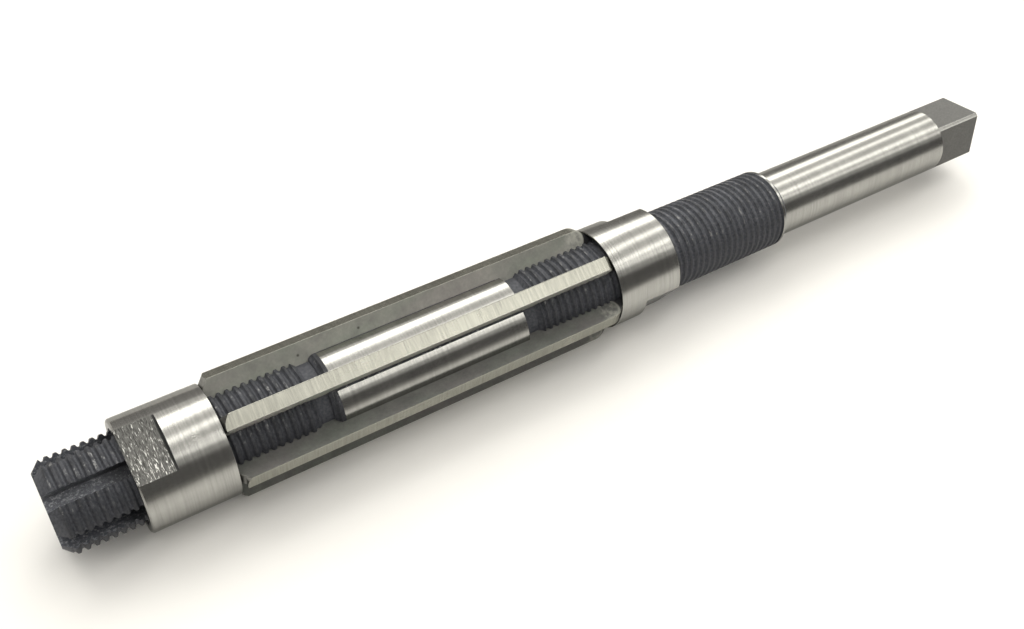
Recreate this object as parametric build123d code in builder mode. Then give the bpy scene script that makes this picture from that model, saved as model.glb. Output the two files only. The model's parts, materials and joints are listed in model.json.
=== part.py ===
"""Adjustable hand reamer: slotted body, sliding blades and the two nuts that clamp them.

Millimetres, +Z up. The axis lies along X, with the tip at -X and the driving square at +X. The tool rests
on its two lowest blades, and the origin is on the floor under the middle of its length.
"""

import os
from math import asin, cos, degrees, radians, sin, tan

from build123d import *

# Body, from the tip to the square
thread_dia = 14.0
tip_chamfer = 1.5
front_thread_length = 38.2
front_neck_length = 2.0
central_land_length = 33.3
rear_neck_length = 2.4
rear_thread_length = 53.0
shank_dia = 12.0
shank_length = 51.1
neck_depth = 0.8
land_height = 0.3
land_chamfer = 0.7

# Driving square, milled on the end of the shank
square_across_flats = 9.0
square_length = 10.6
square_corner_angle = 35.5

# Blades, and the inclined slots that they slide in
blade_count = 6
blade_thickness = 2.3
cutting_dia = 19.6
blade_land_length = 62.6
blade_corner_radius = 2.5
blade_end_reach = 0.8
slot_side_clearance = 0.03
slot_floor_clearance = 0.02
slot_web = 0.85
slot_run_past_blades = 8.5

# Nuts, with a conical recess that faces the blades and two flats at the other end
nut_thread_clearance = 0.05
nut_wall = 1.575
nut_flat_wall = 0.35
nut_edge_chamfer = 0.25
nut_bore_chamfer = 0.3
recess_rim = 0.225
recess_angle = 50.0
recess_gap = 0.12
front_nut_recess_station = 24.4
front_nut_length = 13.1
front_nut_flat_length = 5.7
front_nut_flat_angle = 20.2
rear_nut_length = 12.1
rear_nut_flat_length = 7.0
rear_nut_flat_angle = 122.0

# Stations along the axis, from the tip
land_start = front_thread_length + front_neck_length
land_end = land_start + central_land_length
rear_thread_start = land_end + rear_neck_length
shank_start = rear_thread_start + rear_thread_length
overall_length = shank_start + shank_length

# Radii
thread_radius = thread_dia / 2
neck_radius = thread_radius - neck_depth
land_radius = thread_radius + land_height
shank_radius = shank_dia / 2
cutting_radius = cutting_dia / 2
bore_radius = thread_radius + nut_thread_clearance
nut_radius = bore_radius + nut_wall
rim_radius = nut_radius - recess_rim

# The bevelled ends of the blades stand a small gap inside the recesses of the nuts
recess_slope = tan(radians(recess_angle))
recess_depth = (rim_radius - bore_radius) / recess_slope
bevel_length = (cutting_radius - rim_radius) / recess_slope
front_bevel_top = front_nut_recess_station + recess_gap + bevel_length
rear_bevel_top = front_bevel_top + blade_land_length + blade_corner_radius * tan(radians(recess_angle / 2))
rear_nut_recess_station = rear_bevel_top + bevel_length + recess_gap
blade_front_end = front_nut_recess_station - blade_end_reach
blade_rear_end = rear_nut_recess_station + blade_end_reach
blade_end_radius = rim_radius - recess_slope * (blade_end_reach + recess_gap)

# The slots are deepest at the tip, where a thin web is left between them, and run out under the rear nut
blade_step = 360.0 / blade_count
slot_half_width = blade_thickness / 2 + slot_side_clearance
half_step = radians(blade_step / 2)
floor_radius_at_tip = slot_half_width / tan(half_step) + slot_web / 2 / sin(half_step)
slot_run_out = blade_rear_end + slot_run_past_blades
floor_slope = (thread_radius - floor_radius_at_tip) / slot_run_out
blade_angles = [blade_step * (index + 0.5) for index in range(blade_count)]

# The two lowest blades stand on the floor with the corners of their lands
land_corner_angle = degrees(asin(blade_thickness / 2 / cutting_radius))
axis_height = cutting_radius * cos(radians(blade_step / 2 - land_corner_angle))
tip = Vector(-overall_length / 2, 0, axis_height)
tool_axis = Axis(tip, (1, 0, 0))


def radial_plane(angle):
    """Plane with x along the axis from the tip and y outward, turned by an angle from +Z towards -Y."""
    turn = radians(angle)
    return Plane(origin=tip, x_dir=(1, 0, 0), z_dir=(0, -cos(turn), -sin(turn)))


def cross_plane(station):
    """Plane square to the axis at a station, with x along -Y, y along +Z and its normal towards the tip."""
    return Plane(origin=tip + Vector(station, 0, 0), x_dir=(0, -1, 0), z_dir=(-1, 0, 0))


def floor_radius(station):
    """Radius of the slots' floors at a station."""
    return floor_radius_at_tip + floor_slope * station


def export_piece(piece, name):
    """Label a finished piece and write it under its own name."""
    piece.part.label = name
    export_step(piece.part, f"parts/{name}.step")


os.makedirs("parts", exist_ok=True)

# Body: one turned bar, with a slot for each blade and a square on its end
thread_end_bevel = thread_radius - neck_radius
shank_bevel = thread_radius - shank_radius
body_profile = [
    (0, 0),
    (0, thread_radius - tip_chamfer),
    (tip_chamfer, thread_radius),
    (front_thread_length - thread_end_bevel, thread_radius),
    (front_thread_length, neck_radius),
    (land_start, neck_radius),
    (land_start, land_radius - land_chamfer),
    (land_start + land_chamfer, land_radius),
    (land_end, land_radius),
    (land_end, neck_radius),
    (rear_thread_start, neck_radius),
    (rear_thread_start + thread_end_bevel, thread_radius),
    (shank_start - shank_bevel, thread_radius),
    (shank_start, shank_radius),
    (overall_length, shank_radius),
    (overall_length, 0),
]
slot_mouth = -tip_chamfer
slot_top = land_radius + land_height
slot_profile = [
    (slot_mouth, floor_radius(slot_mouth)),
    (slot_mouth, slot_top),
    ((slot_top - floor_radius_at_tip) / floor_slope, slot_top),
]
with BuildPart() as reamer_body:
    with BuildSketch(radial_plane(0)):
        with BuildLine():
            Polyline(*body_profile, close=True)
        make_face()
    revolve(axis=tool_axis)
    for blade_angle in blade_angles:
        with BuildSketch(radial_plane(blade_angle)):
            with BuildLine():
                Polyline(*slot_profile, close=True)
            make_face()
        extrude(amount=slot_half_width, both=True, mode=Mode.SUBTRACT)
    with BuildSketch(cross_plane(overall_length)):
        Circle(shank_dia)
        Rectangle(
            square_across_flats,
            square_across_flats,
            rotation=45 - square_corner_angle,
            mode=Mode.SUBTRACT,
        )
    extrude(amount=square_length, mode=Mode.SUBTRACT)
export_piece(reamer_body, "reamer_body")

# Blades: flat bars on their slots' floors, all ground together to one turned envelope
blade_top = 2 * cutting_radius
blade_profile = [
    (blade_front_end, floor_radius(blade_front_end) + slot_floor_clearance),
    (blade_rear_end, floor_radius(blade_rear_end) + slot_floor_clearance),
    (blade_rear_end, blade_top),
    (blade_front_end, blade_top),
]
envelope_profile = [
    (blade_front_end, 0),
    (blade_front_end, blade_end_radius),
    (front_bevel_top, cutting_radius),
    (rear_bevel_top, cutting_radius),
    (blade_rear_end, blade_end_radius),
    (blade_rear_end, 0),
]
for index, blade_angle in enumerate(blade_angles):
    with BuildPart() as blade:
        with BuildSketch(radial_plane(blade_angle)):
            with BuildLine():
                Polyline(*blade_profile, close=True)
            make_face()
        extrude(amount=blade_thickness / 2, both=True)
        with BuildSketch(radial_plane(0)) as envelope:
            with BuildLine():
                Polyline(*envelope_profile, close=True)
            make_face()
            rear_corner = envelope.vertices().group_by(Axis.Y)[-1].sort_by(Axis.X)[-1]
            fillet(rear_corner, radius=blade_corner_radius)
        revolve(axis=tool_axis, mode=Mode.INTERSECT)
    export_piece(blade, f"blade_{index + 1}")


def make_nut(recess_station, outer_station, flat_length, flat_angle):
    """Round nut: threaded bore, conical recess at one end and two wrench flats at the other."""
    outward = 1 if outer_station > recess_station else -1
    nut_profile = [
        (recess_station, rim_radius),
        (recess_station, nut_radius),
        (outer_station - outward * nut_edge_chamfer, nut_radius),
        (outer_station, nut_radius - nut_edge_chamfer),
        (outer_station, bore_radius + nut_bore_chamfer),
        (outer_station - outward * nut_bore_chamfer, bore_radius),
        (recess_station + outward * recess_depth, bore_radius),
    ]
    with BuildPart() as nut:
        with BuildSketch(radial_plane(0)):
            with BuildLine():
                Polyline(*nut_profile, close=True)
            make_face()
        revolve(axis=tool_axis)
        with BuildSketch(cross_plane(outer_station)):
            Circle(2 * nut_radius)
            Rectangle(
                4 * nut_radius,
                2 * (bore_radius + nut_flat_wall),
                rotation=-flat_angle,
                mode=Mode.SUBTRACT,
            )
        extrude(amount=flat_length, dir=(-outward, 0, 0), mode=Mode.SUBTRACT)
    return nut


# Nuts: threaded on the body at both ends of the blades
front_nut = make_nut(
    recess_station=front_nut_recess_station,
    outer_station=front_nut_recess_station - front_nut_length,
    flat_length=front_nut_flat_length,
    flat_angle=front_nut_flat_angle,
)
export_piece(front_nut, "front_nut")
rear_nut = make_nut(
    recess_station=rear_nut_recess_station,
    outer_station=rear_nut_recess_station + rear_nut_length,
    flat_length=rear_nut_flat_length,
    flat_angle=rear_nut_flat_angle,
)
export_piece(rear_nut, "rear_nut")
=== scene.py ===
"""Looks of the adjustable hand reamer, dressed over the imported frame.

Metres in Blender, in the frame of the CAD model. The sizes below are in millimetres and follow the
construction: stations run along the axis from the tip, and turns are measured about it from +Z towards -Y.
"""

import json
from math import acos, asin, atan2, cos, floor, hypot, pi, radians, sin, sqrt, tan

import bmesh
import bpy
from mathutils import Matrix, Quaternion, Vector


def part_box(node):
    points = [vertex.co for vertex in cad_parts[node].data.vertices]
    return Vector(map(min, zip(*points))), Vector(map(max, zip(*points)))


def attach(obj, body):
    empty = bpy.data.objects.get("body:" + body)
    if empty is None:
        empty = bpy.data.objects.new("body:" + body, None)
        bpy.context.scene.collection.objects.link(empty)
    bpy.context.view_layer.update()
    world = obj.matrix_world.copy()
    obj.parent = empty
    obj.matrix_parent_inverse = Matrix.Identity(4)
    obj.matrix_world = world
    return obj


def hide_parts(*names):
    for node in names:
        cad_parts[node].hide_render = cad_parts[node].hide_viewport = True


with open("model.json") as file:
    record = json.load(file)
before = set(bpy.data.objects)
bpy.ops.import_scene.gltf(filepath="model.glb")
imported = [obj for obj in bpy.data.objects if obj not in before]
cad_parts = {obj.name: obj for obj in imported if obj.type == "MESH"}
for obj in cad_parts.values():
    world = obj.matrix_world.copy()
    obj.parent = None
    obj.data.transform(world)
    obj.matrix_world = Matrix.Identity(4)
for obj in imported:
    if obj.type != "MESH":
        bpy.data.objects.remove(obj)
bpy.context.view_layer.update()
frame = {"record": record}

MM = 0.001

# Body
thread_radius = 7.0
thread_pitch = 1.25
thread_depth = 0.47
front_thread_phase = 0.12
rear_thread_phase = 0.33
tip_chamfer = 1.5
front_thread_length = 38.2
front_neck_length = 2.0
central_land_length = 33.3
rear_neck_length = 2.4
rear_thread_length = 53.0
shank_radius = 6.0
shank_length = 51.1
neck_depth = 0.8
land_height = 0.3
land_chamfer = 0.7
land_oxide_band = 1.3
slot_edge_roll = 0.3
slot_edge_roll_width = 2.4
slot_edge_roll_power = 1.5
# Width of the land behind each slot given the oxide's colour, as painted shade at the blade's foot
slot_edge_painted_shade = 0.4
slot_edge_offset = 0.02
rear_rim_length = 0.4
shank_bright_rim = 0.35
crest_depth = 0.1

# Looks of the body: heights above the axis over which painted light brightens the crests and lets their wear
# show on the upper side, and stations over which a painted shadow of the front nut darkens the slots
painted_top_light_from = 3.0
painted_top_light_fully = 5.0
nut_shadow_start = 7.0
nut_shadow_end = 10.0

# Driving square
square_across_flats = 9.0
square_length = 10.6
square_corner_turn = radians(35.5)
square_cutter_past_end = 1.0

# Blades and slots
blade_count = 6
blade_thickness = 2.3
cutting_radius = 9.8
blade_land_length = 62.6
blade_corner_radius = 2.5
blade_corner_radii = [0.3] + 5 * [blade_corner_radius]
blade_edge_round = 0.02
blade_relief = tan(radians(13.5))
blade_relief_curve = -0.006
blade_margin = 0.14
blade_margin_edge = 0.02
blade_edge_bevel = 0.3 * blade_edge_round
blade_front_arch = 0.35
blade_straight_front = 0.65
blade_front_skews = [1.1, 0.7, 0.4, 0.4, 0.4, 0.1]
blade_pits = [(49.0, 8.0), (39.0, 7.55)]
blade_pit_radius = 0.3
blade_pit_core = 0.08
blade_end_reach = 0.8
slot_side_clearance = 0.03
slot_floor_clearance = 0.02
slot_web = 0.85
slot_run_past_blades = 8.5

# Rear end of each blade: lighter before the tail's station, with a light border round a dark tail painted as
# the shadow of the rear nut's rim
tail_station = 88.2
tail_radius = 7.9
tail_reach = 2.0
lighter_from = 2.4
lighter_fully = 0.8
border_width = 0.5
border_full_width = 0.2
tail_softness = 0.1

# Nuts
nut_thread_clearance = 0.05
nut_wall = 1.575
nut_flat_wall = 0.35
nut_edge_chamfer = 0.25
nut_bore_chamfer = 0.3
nut_edge_round = 0.06
recess_rim = 0.225
recess_angle = radians(50.0)
recess_slope = tan(recess_angle)
recess_gap = 0.12
front_nut_recess_station = 24.4
front_nut_length = 13.1
front_nut_flat_length = 5.7
front_nut_flat_turn = radians(20.2)
rear_nut_length = 12.1
rear_nut_flat_length = 7.0
rear_nut_flat_turn = radians(122.0)

# Marks on the nuts: place of the most scratches on a flat, reach of the dark line of painted shadow along the
# shoulders, and scuffs
scratched_station = 14.8
scratched_turn = radians(34.0)
scratched_core = 2.0
scratched_reach = 5.5
shoulder_shadow_width = 0.32
nut_scuffs = [(20.6, radians(29.5), 0.8), (22.9, radians(-2.0), 0.5)]

# Stations and radii worked out from the sizes
land_start = front_thread_length + front_neck_length
land_end = land_start + central_land_length
rear_thread_start = land_end + rear_neck_length
shank_start = rear_thread_start + rear_thread_length
overall_length = shank_start + shank_length
neck_radius = thread_radius - neck_depth
land_radius = thread_radius + land_height
bore_radius = thread_radius + nut_thread_clearance
nut_radius = bore_radius + nut_wall
rim_radius = nut_radius - recess_rim
recess_depth = (rim_radius - bore_radius) / recess_slope
bevel_length = (cutting_radius - rim_radius) / recess_slope
front_bevel_top = front_nut_recess_station + recess_gap + bevel_length
rear_bevel_top = front_bevel_top + blade_land_length + blade_corner_radius * tan(recess_angle / 2)
rear_nut_recess_station = rear_bevel_top + bevel_length + recess_gap
front_shoulder = front_nut_recess_station - front_nut_length + front_nut_flat_length
rear_shoulder = rear_nut_recess_station + rear_nut_length - rear_nut_flat_length
blade_front_end = front_nut_recess_station - blade_end_reach
blade_rear_end = rear_nut_recess_station + blade_end_reach
blade_end_radius = rim_radius - recess_slope * (blade_end_reach + recess_gap)
straight_radius = rim_radius + blade_straight_front
blade_step = 2 * pi / blade_count
slot_half_width = blade_thickness / 2 + slot_side_clearance
floor_radius_at_tip = slot_half_width / tan(blade_step / 2) + slot_web / 2 / sin(blade_step / 2)
slot_run_out = blade_rear_end + slot_run_past_blades
floor_slope = (thread_radius - floor_radius_at_tip) / slot_run_out
blade_turns = [blade_step * (index + 0.5) for index in range(blade_count)]

# Where the axis lies in the frame
body_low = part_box("reamer_body")[0]
axis_height = frame["record"]["mounts"][0]["pos_m"][2]
axis_point = Vector((body_low.x, 0, axis_height))

# Fineness of the surfaces
body_columns = 120
nut_columns = 144
blade_rings = 12
blade_arc_steps = 8
spare_pitches = 2
end_gap = 0.002
merge_distance = 0.0005
smooth_below = 28.0
blade_smooth_below = 15.0

# How closely a face has to lie at a place, and along a direction, to count as being there
tolerance = 0.01
slot_tolerance = 0.001
aligned = 0.999
least_cosine = 1e-6

# Colours
steel_blue = 0.95
oxide_dark = (0.028, 0.03, 0.038)
oxide_light = (0.078, 0.081, 0.091)
slot_dark = (0.09, 0.095, 0.115)
slot_grey = (0.14, 0.147, 0.165)
slot_fleck = (0.42, 0.43, 0.45)
blade_side_colours = [(0.36, 0.361, 0.337), (0.51, 0.51, 0.468), (0.63, 0.63, 0.57)]
# The cutting side's colours: a darker copy of the back side's, as painted shade
shaded_blade_face_colours = [(0.11, 0.113, 0.106), (0.16, 0.161, 0.152), (0.27, 0.27, 0.24)]
faint_rose = (1.0, 0.96, 0.985)
faint_green = (0.955, 1.0, 0.955)
# Painted shadow of the rear nut's rim over the blades' tails
tail_painted_shadow = (0.05, 0.05, 0.054)
pit_black = (0.1, 0.1, 0.09)
floor_white_low = (0.88, 0.87, 0.85)
floor_white_high = (0.91, 0.9, 0.88)
floor_reflected_dark = (0.15, 0.147, 0.14)

# Floor, in metres: its reflection darkens along the normal of the near edge, and towards +Y at the far edge
floor_half = 3.0
near_edge_normal = Vector((-0.514, -0.857, 0))
near_edge_start = 0.06
near_edge_end = 0.12
far_edge_start = 0.12
far_edge_end = 0.3

# Camera
camera_eye = MM * Vector((-90.132, -105.424, 139.869))
camera_aim = MM * Vector((-15.208, -0.041, 9.003))
camera_roll = radians(3.792)
camera_lens = 39.954
camera_shift = -0.0006

# Lights: the ceiling's height and the strips' drop are in metres, other sizes are shares of the height
light_height = 1.5
light_colour = (1.0, 0.982, 0.925)
ceiling_left = -1.7
ceiling_right = 3.3
ceiling_near = -0.85
ceiling_far = 2.0
ceiling_radiance = 0.66
near_part_depth = 0.7
near_part_radiance = 0.4
strip_drop = 0.02

# Surroundings: they brighten as the way out turns from -Y to +Y
world_colour = (1.0, 0.96, 0.91, 1.0)
world_near = 0.15
world_far = 0.4
world_near_way = -0.3
world_far_way = 0.6

# Strips of light: name, offset, slope, width, start along X, radiance
light_strips = [
    ("strip_far", 0.62, 0.50, 0.55, -0.4, 2.8),
    ("strip_mid", -0.17, 0.47, 0.16, -0.4, 2.8),
    ("strip_near", -0.75, 0.41, 0.22, 0.35, 3.0),
    ("strip_edge", -0.81, 0.0, 0.26, -1.7, 1.15),
]

# Rows of one pitch of the thread: share of the pitch, share of the depth
thread_rows = [
    (0.0, 0.0),
    (0.12, 0.01),
    (0.19, 0.1),
    (0.37, 0.9),
    (0.43, 1.0),
    (0.57, 1.0),
    (0.63, 0.9),
    (0.81, 0.1),
    (0.88, 0.01),
]


# Shapes

def point(station, radius, turn):
    """Place in the frame of a point given by its station, radius and turn about the axis."""
    return axis_point + MM * Vector((station, -radius * sin(turn), radius * cos(turn)))


def floor_radius(station):
    """Radius of the slots' floors at a station."""
    return floor_radius_at_tip + floor_slope * station


def rounded(corners, steps=4):
    """Polyline of (station, radius) through corners (station, radius, rounding).

    A corner with a rounding above 0 becomes an arc of that radius, in a number of steps.
    """
    line = [corners[0][:2]]
    for before, corner, after in zip(corners, corners[1:], corners[2:]):
        here = Vector(corner[:2])
        to_before = (Vector(before[:2]) - here).normalized()
        to_after = (Vector(after[:2]) - here).normalized()
        half = to_before.angle(to_after) / 2
        if corner[2] == 0:
            line.append(corner[:2])
            continue
        reach = corner[2] / tan(half)
        centre = here + (to_before + to_after).normalized() * (corner[2] / sin(half))
        start = here + to_before * reach - centre
        end = here + to_after * reach - centre
        first = atan2(start.y, start.x)
        sweep = (atan2(end.y, end.x) - first + pi) % (2 * pi) - pi
        for step in range(steps + 1):
            arm = first + sweep * step / steps
            line.append((centre.x + corner[2] * cos(arm), centre.y + corner[2] * sin(arm)))
    line.append(corners[-1][:2])
    return line


def make_object(name, points, faces, sharp_angle=smooth_below):
    """Mesh object with its normals outward, smooth but for the edges sharper than an angle."""
    mesh = bpy.data.meshes.new(name)
    mesh.from_pydata(points, [], faces)
    tidy = bmesh.new()
    tidy.from_mesh(mesh)
    bmesh.ops.remove_doubles(tidy, verts=tidy.verts, dist=merge_distance * MM)
    bmesh.ops.recalc_face_normals(tidy, faces=tidy.faces)
    tidy.to_mesh(mesh)
    tidy.free()
    piece = bpy.data.objects.new(name, mesh)
    bpy.context.scene.collection.objects.link(piece)
    shade(piece, sharp_angle)
    return piece


def shade(piece, sharp_angle=smooth_below):
    """Smooth shading, with edges sharper than an angle left sharp."""
    piece.data.shade_smooth()
    piece.data.set_sharp_from_angle(angle=radians(sharp_angle))


def cut(piece, cutter):
    """Take a closed cutter out of a closed piece."""
    modifier = piece.modifiers.new("cut", "BOOLEAN")
    modifier.operation = "DIFFERENCE"
    modifier.solver = "MANIFOLD"
    modifier.object = cutter
    graph = bpy.context.evaluated_depsgraph_get()
    mesh = bpy.data.meshes.new_from_object(piece.evaluated_get(graph))
    piece.modifiers.clear()
    piece.data = mesh
    bpy.data.objects.remove(cutter)


class Turned:
    """Closed surface about the axis, grown ring by ring from one end to the other."""

    def __init__(self, turns):
        self.turns = turns
        self.points = []
        self.faces = []
        self.last = None

    def add_point(self, station, radius, turn):
        """Add a point and return its index."""
        self.points.append(point(station, radius, turn))
        return len(self.points) - 1

    def ring(self, station, radius_at):
        """Add a ring at one station, joined to the last one; radius_at gives the radius at a turn."""
        ring = [self.add_point(station, radius_at(turn), turn) for turn in self.turns]
        if self.last is None:
            self.first = ring
        else:
            self.join(self.last, ring)
        self.last = ring
        return ring

    def join(self, lower, upper):
        """Add the faces between two rings."""
        for index in range(len(self.turns)):
            after = (index + 1) % len(self.turns)
            self.faces.append([lower[index], lower[after], upper[after], upper[index]])

    def cap(self, ring):
        """Close an end with one face."""
        self.faces.append(list(ring))

    def close(self):
        """Join the last ring to the first, for a piece with a bore."""
        self.join(self.last, self.first)


def envelope_at(line, station):
    """Radius of a (station, radius) polyline at a station."""
    for (s0, r0), (s1, r1) in zip(line, line[1:]):
        if s0 <= station <= s1 and s1 > s0:
            return r0 + (r1 - r0) * (station - s0) / (s1 - s0)
    return line[-1][1]


def add_thread(surface, envelope, phase):
    """Helical thread between the ends of an envelope polyline, joined to the surface's last ring."""
    start, end = envelope[0][0], envelope[-1][0]
    rows = len(thread_rows)
    pitches = int((end - start) / thread_pitch) + 2 * spare_pitches
    count = len(surface.turns)
    first = surface.last
    last = [surface.add_point(end, envelope[-1][1], turn) for turn in surface.turns]
    grid = []
    for row in range(rows * pitches):
        share, depth = thread_rows[row % rows]
        line = []
        for index, turn in enumerate(surface.turns):
            station = start + thread_pitch * (row // rows - spare_pitches + share + phase + turn / (2 * pi))
            if station <= start + end_gap:
                line.append(first[index])
            elif station >= end - end_gap:
                line.append(last[index])
            else:
                radius = min(thread_radius - thread_depth * depth, envelope_at(envelope, station))
                line.append(surface.add_point(station, radius, turn))
        grid.append(line)
    for row in range(len(grid) - 1):
        here, above = grid[row], grid[row + 1]
        for index in range(count):
            if index < count - 1:
                corners = [here[index], here[index + 1], above[index + 1], above[index]]
            else:
                lower = grid[row + rows][0] if row + rows < len(grid) else last[0]
                upper = grid[row + rows + 1][0] if row + rows + 1 < len(grid) else last[0]
                corners = [here[index], lower, upper, above[index]]
            face = []
            for corner in corners:
                if corner not in face:
                    face.append(corner)
            if len(face) > 2:
                surface.faces.append(face)
    surface.last = last


def wedge_cutter(turn):
    """Points and faces of the prism that cuts one slot."""
    mouth = -tip_chamfer
    top = land_radius + land_height
    run_out = (top - floor_radius_at_tip) / floor_slope
    profile = [(mouth, floor_radius(mouth)), (mouth, top), (run_out, top)]
    points = []
    for side in (-slot_half_width, slot_half_width):
        for station, radius in profile:
            points.append(beside(station, radius, side, turn))
    faces = [(0, 2, 1), (3, 4, 5), (0, 1, 4, 3), (1, 2, 5, 4), (2, 0, 3, 5)]
    return points, faces


def beside(station, height, side, turn):
    """Point at a height above the axis and a distance beside the radial plane of a turn."""
    across = -height * sin(turn) - side * cos(turn)
    up = height * cos(turn) - side * sin(turn)
    return axis_point + MM * Vector((station, across, up))


def merged_cutter(name, parts):
    """One cutter from several closed parts that stand apart."""
    points, faces = [], []
    for part_points, part_faces in parts:
        faces += [[corner + len(points) for corner in face] for face in part_faces]
        points += part_points
    return make_object(name, points, faces)


def square_cutter():
    """Square tube round the end of the shank, with the driving square as its opening."""
    start = overall_length - square_length
    end = overall_length + square_cutter_past_end
    points = []
    for station in (start, end):
        for half in (square_across_flats / 2, shank_radius * 2):
            for x_side, y_side in ((1, 1), (-1, 1), (-1, -1), (1, -1)):
                points.append(beside(station, half * x_side, half * y_side, square_corner_turn + pi / 4))
    faces = []
    for index in range(4):
        after = (index + 1) % 4
        faces.append((index, after, 8 + after, 8 + index))
        faces.append((4 + index, 12 + index, 12 + after, 4 + after))
        faces.append((index, 4 + index, 4 + after, after))
        faces.append((8 + index, 8 + after, 12 + after, 12 + index))
    return points, faces


def past_slot(turn):
    """Turn past the middle of the nearest slot."""
    return turn - blade_step * (floor(turn / blade_step) + 0.5)


def beyond_slot(turn):
    """Distance on the land past the edge behind the nearest slot; negative in and in front of the slot."""
    return land_radius * sin(past_slot(turn)) - slot_half_width


def slot_edge_share(turn):
    """1 at the edge behind a slot, falling to 0 over the width of the rolled edge."""
    beyond = beyond_slot(turn)
    if beyond < -slot_half_width:
        return 0.0
    return max(0.0, min(1.0, 1 - beyond / slot_edge_roll_width)) ** slot_edge_roll_power


def make_body():
    """Turned bar with its two threads, slotted and squared."""
    bevel = thread_radius - neck_radius
    turns = [2 * pi * index / body_columns for index in range(body_columns)]
    for blade_turn in blade_turns:
        for beyond in (-2 * slot_half_width - slot_edge_offset, slot_edge_offset, slot_edge_painted_shade):
            turns.append((blade_turn + asin((slot_half_width + beyond) / land_radius)) % (2 * pi))
    surface = Turned(sorted(turns))
    surface.cap(surface.ring(0, lambda turn: thread_radius - tip_chamfer))
    add_thread(surface, [
        (0, thread_radius - tip_chamfer),
        (tip_chamfer, thread_radius),
        (front_thread_length - bevel, thread_radius),
        (front_thread_length, neck_radius),
    ], front_thread_phase)
    for station, radius in (
        (land_start, neck_radius),
        (land_start, land_radius - land_chamfer),
        (land_start + land_chamfer, land_radius),
        (land_start + land_oxide_band, land_radius),
        (land_end, land_radius),
        (land_end, neck_radius),
        (rear_thread_start, neck_radius),
    ):
        rolls = slot_edge_roll if radius == land_radius else 0.0
        surface.ring(station, lambda turn: radius - rolls * slot_edge_share(turn))
    rim_start = shank_start - (thread_radius - shank_radius) - rear_rim_length
    add_thread(surface, [
        (rear_thread_start, neck_radius),
        (rear_thread_start + bevel, thread_radius),
        (rim_start, thread_radius),
    ], rear_thread_phase)
    surface.ring(rim_start + rear_rim_length, lambda turn: thread_radius)
    surface.ring(shank_start, lambda turn: shank_radius)
    surface.cap(surface.ring(overall_length, lambda turn: shank_radius))
    piece = make_object("body_piece", surface.points, surface.faces)
    cutters = [wedge_cutter(turn) for turn in blade_turns] + [square_cutter()]
    cut(piece, merged_cutter("cutter", cutters))
    shade(piece)
    return piece


def make_blade(name, turn, corner_radius, skew):
    """Flat bar with a land that falls away behind a narrow margin, and an arched, skewed front."""
    line = rounded([
        (blade_front_end, blade_end_radius, 0),
        (front_bevel_top - (cutting_radius - straight_radius) / recess_slope, straight_radius, 0),
        (front_bevel_top, cutting_radius, blade_edge_round),
        (rear_bevel_top, cutting_radius, corner_radius),
        (blade_rear_end, blade_end_radius, 0),
    ], steps=blade_arc_steps)
    middle = []
    for share in range(1, blade_rings):
        station = front_bevel_top + (rear_bevel_top - front_bevel_top) * share / blade_rings
        middle.append((station, cutting_radius))
    middle.append((front_bevel_top + 3 * blade_front_arch, cutting_radius))
    line = sorted(line + middle)
    half = blade_thickness / 2
    edge = blade_edge_round
    bevel = blade_edge_bevel
    margin = -half + blade_margin
    across = (-half + edge, margin, margin + blade_margin_edge, -0.5, 0, 0.5, half - edge)
    points, faces, rings = [], [], []
    for station, radius in line:
        bottom = floor_radius(station) + slot_floor_clearance
        margin_top = sqrt(radius ** 2 - margin ** 2)
        fall = blade_relief + margin / margin_top

        def top(side):
            if side < margin:
                return sqrt(radius ** 2 - side ** 2)
            past = side - margin
            return margin_top - past * fall - blade_relief_curve * past ** 2

        section = [(-half, bottom), (-half, top(-half) - edge), (-half + bevel, top(-half) - bevel)]
        section += [(side, top(side)) for side in across]
        section += [(half - bevel, top(half) - bevel), (half, top(half) - edge), (half, bottom)]
        rings.append([len(points) + index for index in range(len(section))])
        front = station < (front_bevel_top + rear_bevel_top) / 2
        share = max(0.0, radius - straight_radius) / (cutting_radius - straight_radius) if front else 0.0
        for side, height in section:
            shift = blade_front_arch * (1 - (side / half) ** 2) + skew * (side / half + 1) / 2
            shift = 0.0 if height == bottom else share * shift
            points.append(beside(station - shift, height, side, turn))
    for lower, upper in zip(rings, rings[1:]):
        for index in list(range(1, len(lower) - 2)) + [-1]:
            faces.append([lower[index], lower[index + 1], upper[index + 1], upper[index]])
    faces += [rings[0], rings[-1]]
    for foot, edge_of_top in ((0, 1), (-1, -2)):
        faces.append([ring[foot] for ring in rings] + [ring[edge_of_top] for ring in reversed(rings)])
    return make_object(name, points, faces, sharp_angle=blade_smooth_below)


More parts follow.
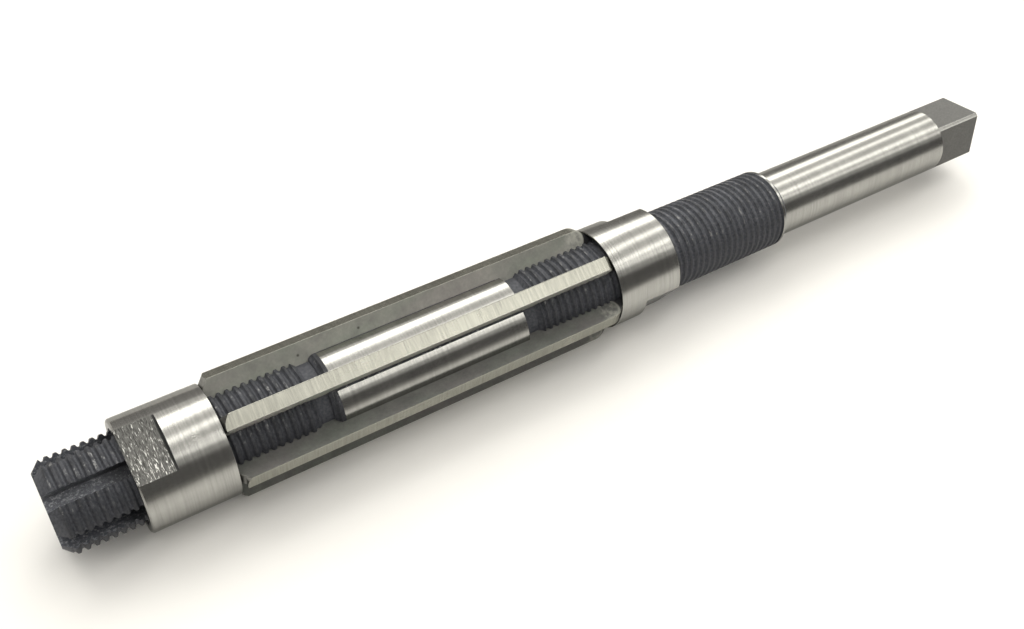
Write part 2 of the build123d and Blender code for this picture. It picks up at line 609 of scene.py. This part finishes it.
def make_nut(name, recess_station, outer_station, flat_length, flat_turn):
    """Round nut with a conical recess at one end and two flats at the other."""
    outward = 1 if outer_station > recess_station else -1
    flat_distance = bore_radius + nut_flat_wall
    flat_corner = acos(flat_distance / nut_radius)
    turns = [2 * pi * index / nut_columns for index in range(nut_columns)]
    for side in (0, pi):
        turns += [(flat_turn + side + corner) % (2 * pi) for corner in (-flat_corner, flat_corner)]
    surface = Turned(sorted(turns))
    shoulder = outer_station - outward * flat_length
    line = rounded([
        (recess_station + outward * recess_depth, bore_radius, 0),
        (recess_station, rim_radius, nut_edge_round),
        (recess_station, nut_radius, nut_edge_round),
        (outer_station - outward * nut_edge_chamfer, nut_radius, nut_edge_round),
        (outer_station, nut_radius - nut_edge_chamfer, nut_edge_round),
        (outer_station, bore_radius + nut_bore_chamfer, 0),
        (outer_station - outward * nut_bore_chamfer, bore_radius, 0),
    ])

    def flat_radius(radius):
        def at(turn):
            across = abs(cos(turn - flat_turn))
            return min(radius, flat_distance / across) if across > least_cosine else radius
        return at

    reached = False
    for before, here in zip([line[0]] + line, line):
        outside = here[1] > bore_radius + nut_bore_chamfer
        crossed = (before[0] - shoulder) * (here[0] - shoulder) < 0
        if crossed and not reached and outside:
            surface.ring(shoulder, lambda turn: nut_radius)
            surface.ring(shoulder, flat_radius(nut_radius))
            reached = True
        surface.ring(here[0], flat_radius(here[1]) if reached else lambda turn: here[1])
    surface.close()
    return make_object(name, surface.points, surface.faces)


# Materials

def nodes_of(name):
    """New material; returns it, its node maker, a function that plugs into its shader, and the shader."""
    material = bpy.data.materials.new(name)
    material.use_nodes = True
    tree = material.node_tree
    shader = tree.nodes["Principled BSDF"]

    def add(kind, inputs=None, **settings):
        node = tree.nodes.new(kind)
        for key, value in settings.items():
            setattr(node, key, value)
        for key, value in (inputs or {}).items():
            if isinstance(value, bpy.types.NodeSocket):
                tree.links.new(value, node.inputs[key])
            else:
                node.inputs[key].default_value = value
        return node

    def plug(value, socket):
        tree.links.new(value, shader.inputs[socket])

    return material, add, plug, shader


def place_of(add):
    """Place of the shaded point in the frame, in metres."""
    return add("ShaderNodeTexCoord").outputs["Object"]


def station_and_radius(add, place):
    """Station and radius of the shaded point, in millimetres."""
    from_tip = add("ShaderNodeVectorMath", {0: place, 1: -axis_point}, operation="ADD").outputs["Vector"]
    scaled = add("ShaderNodeVectorMath", {0: from_tip, "Scale": 1 / MM}, operation="SCALE").outputs["Vector"]
    apart = add("ShaderNodeSeparateXYZ", {"Vector": scaled})
    across = add("ShaderNodeVectorMath", {0: scaled, 1: (0, 1, 1)}, operation="MULTIPLY").outputs["Vector"]
    return apart.outputs["X"], length(add, across)


def length(add, vector):
    """Length of a vector."""
    return add("ShaderNodeVectorMath", {0: vector}, operation="LENGTH").outputs["Value"]


def distance(add, place, centre):
    """Distance of the shaded point from a centre, in metres."""
    return add("ShaderNodeVectorMath", {0: place, 1: centre}, operation="DISTANCE").outputs["Value"]


def computed(add, operation, *values):
    """Result of a calculation with numbers."""
    return add("ShaderNodeMath", dict(enumerate(values)), operation=operation).outputs[0]


def spread(add, value, low, high, to_low=0.0, to_high=1.0):
    """Value brought from one range to another, and held at its ends."""
    node = add("ShaderNodeMapRange", {
        "Value": value,
        "From Min": low,
        "From Max": high,
        "To Min": to_low,
        "To Max": to_high,
    })
    return node.outputs["Result"]


def stretched_noise(add, scale, detail=4.0, roughness=0.6, distortion=0.0):
    """Noise over the object, stretched by a scale for each axis."""
    mapping = add("ShaderNodeMapping", {"Vector": place_of(add), "Scale": scale})
    noise = add("ShaderNodeTexNoise", {
        "Vector": mapping.outputs["Vector"],
        "Scale": 1.0,
        "Detail": detail,
        "Roughness": roughness,
        "Distortion": distortion,
    })
    return noise.outputs["Fac"]


def ramp(add, value, stops):
    """Colour ramp with stops (position, colour)."""
    node = add("ShaderNodeValToRGB", {"Fac": value})
    elements = node.color_ramp.elements
    while len(elements) < len(stops):
        elements.new(0.5)
    for element, (position, colour) in zip(elements, stops):
        element.position = position
        element.color = (*colour, 1.0)
    return node.outputs["Color"]


def multiplied(add, first, second):
    """Product of two colours."""
    mixed = add("ShaderNodeMix", {"Factor": 1.0}, data_type="RGBA", blend_type="MULTIPLY")
    mixed.id_data.links.new(first, mixed.inputs["A"])
    mixed.id_data.links.new(second, mixed.inputs["B"])
    return mixed.outputs["Result"]


def faded(add, mask, below, above):
    """Colour that goes from below to above as a mask rises from 0 to 1."""
    mixed = add("ShaderNodeMix", {"Factor": mask}, data_type="RGBA")
    for side, colour in (("A", below), ("B", above)):
        if isinstance(colour, bpy.types.NodeSocket):
            mixed.id_data.links.new(colour, mixed.inputs[side])
        else:
            mixed.inputs[side].default_value = (*colour, 1.0)
    return mixed.outputs["Result"]


def roughened(add, plug, height, strength, depth):
    """Bump the surface by a height, with a depth in millimetres."""
    bump = add("ShaderNodeBump", {"Strength": strength, "Distance": depth * MM, "Height": height})
    plug(bump.outputs["Normal"], "Normal")


def grey(value):
    """Neutral grey."""
    return (value, value, value)


def steel(value, blue=steel_blue):
    """Faintly warm grey of bare steel, with a share of blue."""
    return (value, value * 0.995, value * blue)


def ground_steel(name, marks, tone, roughness, anisotropic, contrast=0.12, blue=steel_blue, scuffs=()):
    """Ground steel with fine marks stretched by a scale for each axis."""
    material, add, plug, shader = nodes_of(name)
    fine = stretched_noise(add, marks)
    patches = stretched_noise(add, (110, 260, 260), detail=5.0)
    darker = steel(tone * (1 - contrast), blue)
    lighter = steel(tone * (1 + contrast), blue)
    colour = ramp(add, fine, [(0.3, darker), (0.7, lighter)])
    blotch = ramp(add, patches, [(0.35, grey(0.9)), (0.65, grey(1.0))])
    plug(scuffed(add, multiplied(add, colour, blotch), scuffs), "Base Color")
    plug(spread(add, patches, 0.0, 1.0, roughness * 0.8, roughness * 1.25), "Roughness")
    roughened(add, plug, fine, 0.16, 0.02)
    tangent = add("ShaderNodeTangent", direction_type="RADIAL", axis="X")
    plug(tangent.outputs["Tangent"], "Tangent")
    shader.inputs["Metallic"].default_value = 1.0
    shader.inputs["Specular Tint"].default_value = (0.45, 0.45, 0.45, 1.0)
    shader.inputs["Anisotropic"].default_value = anisotropic
    shader.inputs["Anisotropic Rotation"].default_value = 0.25
    return material


def scuffed(add, colour, spots):
    """Colour with short bright scratches round spots (station, turn, reach) on the nuts."""
    if not spots:
        return colour
    place = place_of(add)
    lines = stretched_noise(add, (3000, 6000, 3000), detail=3.0)
    sharp = spread(add, lines, 0.5, 0.64)
    for station, turn, reach in spots:
        away = distance(add, place, point(station, nut_radius, turn))
        near = spread(add, away, reach * MM, reach * MM / 2)
        colour = faded(add, computed(add, "MULTIPLY", sharp, near), colour, steel(0.58))
    return colour


def blade_surface(name, low, high, end, metallic):
    """Dull ground face of a blade, mottled between two colours, with pits, a lighter end and a dark tail,
    which is a painted shadow of the rear nut's rim.
    """
    material, add, plug, shader = nodes_of(name)
    place = place_of(add)
    station, radius = station_and_radius(add, place)
    mottle = stretched_noise(add, (420, 420, 420), detail=6.0, roughness=0.65)
    hue = stretched_noise(add, (90, 200, 200), detail=3.0)
    grain = stretched_noise(add, (2400, 2400, 2400), detail=3.0)
    mottled = ramp(add, mottle, [(0.3, low), (0.7, high)])
    tint = ramp(add, hue, [(0.35, faint_rose), (0.65, faint_green)])
    speck = ramp(add, grain, [(0.3, grey(0.86)), (0.7, grey(1.0))])
    colour = multiplied(add, multiplied(add, mottled, tint), speck)

    blotches = stretched_noise(add, (900, 900, 900), roughness=0.7)
    lighter = ramp(add, blotches, [(0.4, low), (0.5, high), (0.62, end)])
    last = spread(add, station, tail_station - lighter_from, tail_station - lighter_fully)
    colour = faded(add, last, colour, lighter)
    beyond = computed(add, "MAXIMUM", computed(add, "SUBTRACT", station, tail_station), 0.0)
    above = computed(add, "SUBTRACT", radius, tail_radius)
    reach = add("ShaderNodeCombineXYZ", {"X": beyond, "Y": above}).outputs["Vector"]
    out = length(add, reach)
    border = spread(add, out, tail_reach - border_width, tail_reach - border_full_width)
    colour = faded(add, computed(add, "MULTIPLY", border, last), colour, end)
    # Painted shadow of the rear nut's rim: the tail beyond the light border goes dark
    tail = spread(add, out, tail_reach - tail_softness, tail_reach + tail_softness)
    colour = faded(add, computed(add, "MULTIPLY", tail, last), colour, tail_painted_shadow)

    for pit_station, pit_height in blade_pits:
        centre = beside(pit_station, pit_height, blade_thickness / 2, blade_turns[-1])
        near = spread(add, distance(add, place, centre), blade_pit_radius * MM, blade_pit_core * MM)
        colour = faded(add, near, colour, pit_black)
    plug(colour, "Base Color")
    roughened(add, plug, mottle, 0.25, 0.03)
    shader.inputs["Metallic"].default_value = metallic
    shader.inputs["Roughness"].default_value = 0.5
    return material


def black_oxide(name):
    """Blackened steel with uneven crests whose wear shows brighter here and there; painted light keeps that
    wear and the brighter crests to the upper side, and makes the grooves and the rear thread lighter.
    """
    material, add, plug, shader = nodes_of(name)
    place = place_of(add)
    station, radius = station_and_radius(add, place)
    height = add("ShaderNodeSeparateXYZ", {"Vector": place}).outputs["Z"]
    # Painted light from above: a mask that lets the crests show their wear and full brightness only on the
    # upper side
    upper = spread(add, height, axis_height + painted_top_light_from * MM, axis_height + painted_top_light_fully * MM)
    crest = spread(add, radius, thread_radius - crest_depth, thread_radius - tolerance)
    streaks = stretched_noise(add, (1500, 900, 900), detail=5.0, roughness=0.75)
    worn_and_lit = computed(add, "MULTIPLY", crest, spread(add, streaks, 0.55, 0.67))
    worn_and_lit = computed(add, "MULTIPLY", worn_and_lit, upper)

    grain = stretched_noise(add, (2600, 2600, 2600))
    # Painted light: the thread grows lighter towards the rear nut and stays so beyond it, for the brighter
    # floor reflection on the rear thread
    rear = spread(add, station, land_end, rear_nut_recess_station)
    dark = ramp(add, grain, [(0.3, oxide_dark), (0.7, oxide_light)])
    dark = multiplied(add, dark, faded(add, rear, grey(1.0), grey(1.3)))
    # Painted light: the grooves are lighter than the crests, to offset the shade that falls in them
    raised = spread(add, radius, thread_radius - thread_depth, thread_radius)
    uneven = stretched_noise(add, (600, 340, 340), detail=5.0, roughness=0.7)
    crests = ramp(add, uneven, [(0.4, grey(0.5)), (0.61, grey(1.15))])
    # Painted shade: below the upper side the crests take one even grey, without the brighter spots of the
    # upper side
    crests = faded(add, upper, grey(0.7), crests)
    dark = multiplied(add, dark, faded(add, raised, grey(1.25), crests))

    dull = ramp(add, grain, [(0.3, grey(0.5)), (0.7, grey(0.7))])
    plug(faded(add, worn_and_lit, dark, grey(0.25)), "Base Color")
    plug(faded(add, worn_and_lit, dull, grey(0.36)), "Roughness")
    plug(faded(add, worn_and_lit, grey(0.1), grey(0.5)), "Metallic")
    roughened(add, plug, grain, 0.25, 0.03)
    shader.inputs["Specular IOR Level"].default_value = 0.35
    return material


def rough_slot(name):
    """Milled and blackened slot, speckled where the light catches it, and darker past the tip, where a
    painted shadow of the front nut falls.
    """
    material, add, plug, shader = nodes_of(name)
    station = station_and_radius(add, place_of(add))[0]
    grain = stretched_noise(add, (2200, 2800, 2800), detail=6.0, roughness=0.75)
    speckled = ramp(add, grain, [(0.4, slot_dark), (0.54, slot_grey), (0.64, slot_fleck)])
    # Painted shadow of the front nut: the slot darkens a few millimetres past the tip
    nut_shadow = faded(add, spread(add, station, nut_shadow_start, nut_shadow_end), grey(1.0), grey(0.45))
    plug(multiplied(add, speckled, nut_shadow), "Base Color")
    roughened(add, plug, grain, 0.7, 0.08)
    shader.inputs["Metallic"].default_value = 0.4
    shader.inputs["Roughness"].default_value = 0.45
    return material


def wrench_milled(name):
    """Dark flat with fine bright scratches, most of them round one place, and a painted shadow as a dark line
    along its shoulder.
    """
    material, add, plug, shader = nodes_of(name)
    place = place_of(add)
    station = station_and_radius(add, place)[0]
    lines = stretched_noise(add, (6500, 1250, 1250), detail=2.0, roughness=0.5, distortion=0.7)
    away = distance(add, place, point(scratched_station, nut_radius, scratched_turn))
    level = spread(add, away, scratched_core * MM, scratched_reach * MM, 0.015, -0.03)
    stops = [(0.36, steel(0.05)), (0.45, steel(0.1)), (0.6, steel(0.14)), (0.68, steel(0.7))]
    colour = ramp(add, computed(add, "ADD", lines, level), stops)
    # Painted shadow: a dark line on the flat along the shoulder
    for shoulder in (front_shoulder, rear_shoulder):
        painted_shoulder_shadow = computed(add, "COMPARE", station, shoulder, shoulder_shadow_width)
        colour = faded(add, painted_shoulder_shadow, colour, grey(0.03))
    plug(colour, "Base Color")
    roughened(add, plug, lines, 0.6, 0.03)
    shader.inputs["Metallic"].default_value = 0.75
    shader.inputs["Roughness"].default_value = 0.38
    return material


def square_milled(name):
    """Dull grey face of the driving square, with a very fine grain."""
    material, add, plug, shader = nodes_of(name)
    grain = stretched_noise(add, (3200, 3200, 3200), roughness=0.65)
    soft = stretched_noise(add, (300, 300, 300), detail=3.0)
    base = ramp(add, grain, [(0.3, steel(0.085)), (0.7, steel(0.14))])
    cloud = ramp(add, soft, [(0.3, grey(0.88)), (0.7, grey(1.0))])
    plug(multiplied(add, base, cloud), "Base Color")
    roughened(add, plug, grain, 0.25, 0.03)
    shader.inputs["Metallic"].default_value = 0.5
    shader.inputs["Roughness"].default_value = 0.5
    return material


def white_floor(name):
    """White table with the faintest mottle; to glossy rays alone it turns dark past a line on the near side
    and towards +Y on the far side, a painted dark reflection in the steel.
    """
    material, add, plug, shader = nodes_of(name)
    place = place_of(add)
    depth = add("ShaderNodeSeparateXYZ", {"Vector": place}).outputs["Y"]
    across = add("ShaderNodeVectorMath", {0: place, 1: near_edge_normal}, operation="DOT_PRODUCT")
    near = spread(add, across.outputs["Value"], near_edge_start, near_edge_end)
    far = spread(add, depth, far_edge_start, far_edge_end)
    reflected = add("ShaderNodeLightPath").outputs["Is Glossy Ray"]
    dark = computed(add, "MULTIPLY", computed(add, "ADD", near, far), reflected)
    mottle = stretched_noise(add, (25, 25, 25), detail=3.0)
    white = ramp(add, mottle, [(0.3, floor_white_low), (0.7, floor_white_high)])
    plug(faded(add, dark, white, floor_reflected_dark), "Base Color")
    shader.inputs["Roughness"].default_value = 0.6
    return material


def paint(piece, materials, choose):
    """Give a piece its materials, and each face the one whose number choose(centre, normal) returns."""
    piece.data.materials.clear()
    for material in materials:
        piece.data.materials.append(material)
    for face in piece.data.polygons:
        face.material_index = choose(face.center, face.normal)


def cylindrical(place):
    """Station, radius and turn of a place in the frame."""
    out = (place - axis_point) / MM
    return out.x, hypot(out.y, out.z), atan2(-out.y, out.z)


def body_zone(centre, normal):
    """Material of a face of the body: 0 oxide, also on a strip of painted shade behind each slot, 1 ground, 2
    slot, 3 square, 4 ridge of the square.
    """
    station, radius, turn = cylindrical(centre)
    outward = abs(normal.x) < 0.5
    rim_start = shank_start - (thread_radius - shank_radius) - rear_rim_length
    if station > overall_length - square_length - tolerance:
        return 4 if radius > shank_radius - 2 * tolerance and outward else 3
    beside_slot = abs(radius * sin(past_slot(turn)))
    if beside_slot < slot_half_width + slot_tolerance and station < slot_run_out:
        return 2
    if station > shank_start - shank_bright_rim:
        return 1
    if station > rim_start + tolerance and radius > thread_radius - crest_depth:
        return 1
    if land_start + land_oxide_band - tolerance < station < land_end and outward:
        # Painted shade: the land just behind each slot takes the oxide's colour, at the foot of the blade
        return 0 if 0 < beyond_slot(turn) < slot_edge_painted_shade else 1
    return 0


def nut_zone(flat_turn, shoulder):
    """Chooser of a nut's materials: 0 ground, 1 flat, 2 dark mouth and bore, also given to the shoulder's
    step as painted shade.
    """
    flat_distance = bore_radius + nut_flat_wall

    def choose(centre, normal):
        station, radius, turn = cylindrical(centre)
        facing = abs(normal.y * -sin(flat_turn) + normal.z * cos(flat_turn))
        on_flat = radius * abs(cos(turn - flat_turn)) < flat_distance + tolerance
        if facing > aligned and on_flat:
            return 1
        # The shoulder's step takes the dark material: painted shade along the shoulder
        if abs(normal.x) > aligned and abs(station - shoulder) < tolerance:
            return 2
        inward = normal.y * -sin(turn) + normal.z * cos(turn) < -0.3
        return 2 if inward else 0

    return choose


def blade_zone(turn):
    """Chooser of a blade's materials: 0 back side, 1 land, 2 front bevel and ends, painted darker as shade, 3
    cutting side, painted darker than the back side as shade.
    """
    def choose(centre, normal):
        sideways = normal.y * -cos(turn) - normal.z * sin(turn)
        if abs(sideways) > 0.9:
            return 0 if sideways > 0 else 3
        return 2 if normal.x < -0.5 or abs(normal.x) > 0.95 else 1
    return choose


# Stage

def add_floor():
    """Plain table under the tool."""
    mesh = bpy.data.meshes.new("floor")
    corners = [(side * floor_half, end * floor_half, 0) for side, end in ((-1, -1), (1, -1), (1, 1), (-1, 1))]
    mesh.from_pydata(corners, [], [(0, 1, 2, 3)])
    piece = bpy.data.objects.new("floor", mesh)
    bpy.context.scene.collection.objects.link(piece)
    piece.data.materials.append(white_floor("floor_white"))


def add_camera():
    """Camera fitted to the photo."""
    data = bpy.data.cameras.new("camera")
    data.sensor_width = 36.0
    data.lens = camera_lens
    data.shift_y = camera_shift
    data.clip_start = 0.005
    camera = bpy.data.objects.new("camera", data)
    camera.location = camera_eye
    camera.rotation_mode = "QUATERNION"
    towards = (camera_aim - camera_eye).to_track_quat("-Z", "Y")
    camera.rotation_quaternion = towards @ Quaternion((0, 0, 1), camera_roll)
    bpy.context.scene.collection.objects.link(camera)
    bpy.context.scene.camera = camera


def add_panel(name, centre, size, turn, radiance):
    """Flat warm light overhead, facing down and turned about the vertical."""
    data = bpy.data.lights.new(name, "AREA")
    data.shape = "RECTANGLE"
    data.size, data.size_y = size
    data.energy = radiance * pi * size[0] * size[1]
    data.color = light_colour
    light = bpy.data.objects.new(name, data)
    light.location = centre
    light.rotation_euler = (0, 0, turn)
    bpy.context.scene.collection.objects.link(light)


def add_surroundings():
    """Dim world that brightens towards the far side."""
    world = bpy.data.worlds.new("world")
    world.use_nodes = True
    tree = world.node_tree
    background = tree.nodes["Background"]
    background.inputs["Color"].default_value = world_colour
    place = tree.nodes.new("ShaderNodeTexCoord")
    split = tree.nodes.new("ShaderNodeSeparateXYZ")
    fade = tree.nodes.new("ShaderNodeMapRange")
    fade.inputs["From Min"].default_value = world_near_way
    fade.inputs["From Max"].default_value = world_far_way
    fade.inputs["To Min"].default_value = world_near
    fade.inputs["To Max"].default_value = world_far
    tree.links.new(place.outputs["Generated"], split.inputs["Vector"])
    tree.links.new(split.outputs["Y"], fade.inputs["Value"])
    tree.links.new(fade.outputs["Result"], background.inputs["Strength"])
    bpy.context.scene.world = world


def add_lights():
    """Soft ceiling with a dimmer near part and four long brighter strips across it."""
    height = light_height
    middle_x = height * (ceiling_left + ceiling_right) / 2
    wide = height * (ceiling_right - ceiling_left)
    centre = (middle_x, height * (ceiling_near + ceiling_far) / 2, height)
    add_panel("ceiling", centre, (wide, height * (ceiling_far - ceiling_near)), 0, ceiling_radiance)
    centre = (middle_x, height * (ceiling_near - near_part_depth / 2), height)
    add_panel("ceiling_near", centre, (wide, height * near_part_depth), 0, near_part_radiance)
    for name, offset, slope, width, start, radiance in light_strips:
        along = (start + ceiling_right) / 2
        centre = (height * along, height * (offset + slope * along), height - strip_drop)
        turn = atan2(slope, 1)
        reach = height * (ceiling_right - start) / cos(turn)
        add_panel(name, centre, (reach, height * width), turn, radiance)


# The pieces

oxide = black_oxide("black_oxide")
turned = ground_steel(
    "ground_round",
    marks=(3600, 70, 70),
    tone=0.4,
    roughness=0.24,
    anisotropic=0.75,
    scuffs=nut_scuffs,
)
ridge = ground_steel("square_ridge", marks=(1800, 400, 400), tone=0.8, roughness=0.3, anisotropic=0.0)
slot = rough_slot("slot_rough")
square = square_milled("square_milled")
wrench_flat = wrench_milled("wrench_flat")
blade_side = blade_surface("blade_side", *blade_side_colours, metallic=0.45)
# Painted shade: the cutting sides take a darker copy of the back sides' material
shaded_blade_face = blade_surface("shaded_blade_face", *shaded_blade_face_colours, metallic=0.4)
blade_land = ground_steel(
    "blade_land",
    marks=(3200, 200, 200),
    tone=0.39,
    roughness=0.26,
    anisotropic=0.5,
    contrast=0.16,
    blue=0.88,
)
# Painted shade: the front bevels and ends are darker steel than the land, where they face the nuts' recesses
blade_end = ground_steel("blade_end", marks=(900, 900, 900), tone=0.3, roughness=0.36, anisotropic=0.0)

body = make_body()
paint(body, [oxide, turned, slot, square, ridge], body_zone)
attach(body, "body")
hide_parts("reamer_body")

front_nut = make_nut(
    "front_nut_piece",
    front_nut_recess_station,
    front_nut_recess_station - front_nut_length,
    front_nut_flat_length,
    front_nut_flat_turn,
)
rear_nut = make_nut(
    "rear_nut_piece",
    rear_nut_recess_station,
    rear_nut_recess_station + rear_nut_length,
    rear_nut_flat_length,
    rear_nut_flat_turn,
)
for nut, name, flat_turn, shoulder in (
    (front_nut, "front_nut", front_nut_flat_turn, front_shoulder),
    (rear_nut, "rear_nut", rear_nut_flat_turn, rear_shoulder),
):
    paint(nut, [turned, wrench_flat, oxide], nut_zone(flat_turn, shoulder))
    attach(nut, name)
    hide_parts(name)

for index, turn in enumerate(blade_turns):
    name = f"blade_{index + 1}"
    blade = make_blade(name + "_piece", turn, blade_corner_radii[index], blade_front_skews[index])
    paint(blade, [blade_side, blade_land, blade_end, shaded_blade_face], blade_zone(turn))
    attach(blade, name)
    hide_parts(name)

add_floor()
add_camera()
add_surroundings()
add_lights()
bpy.context.scene.view_settings.view_transform = "Standard"
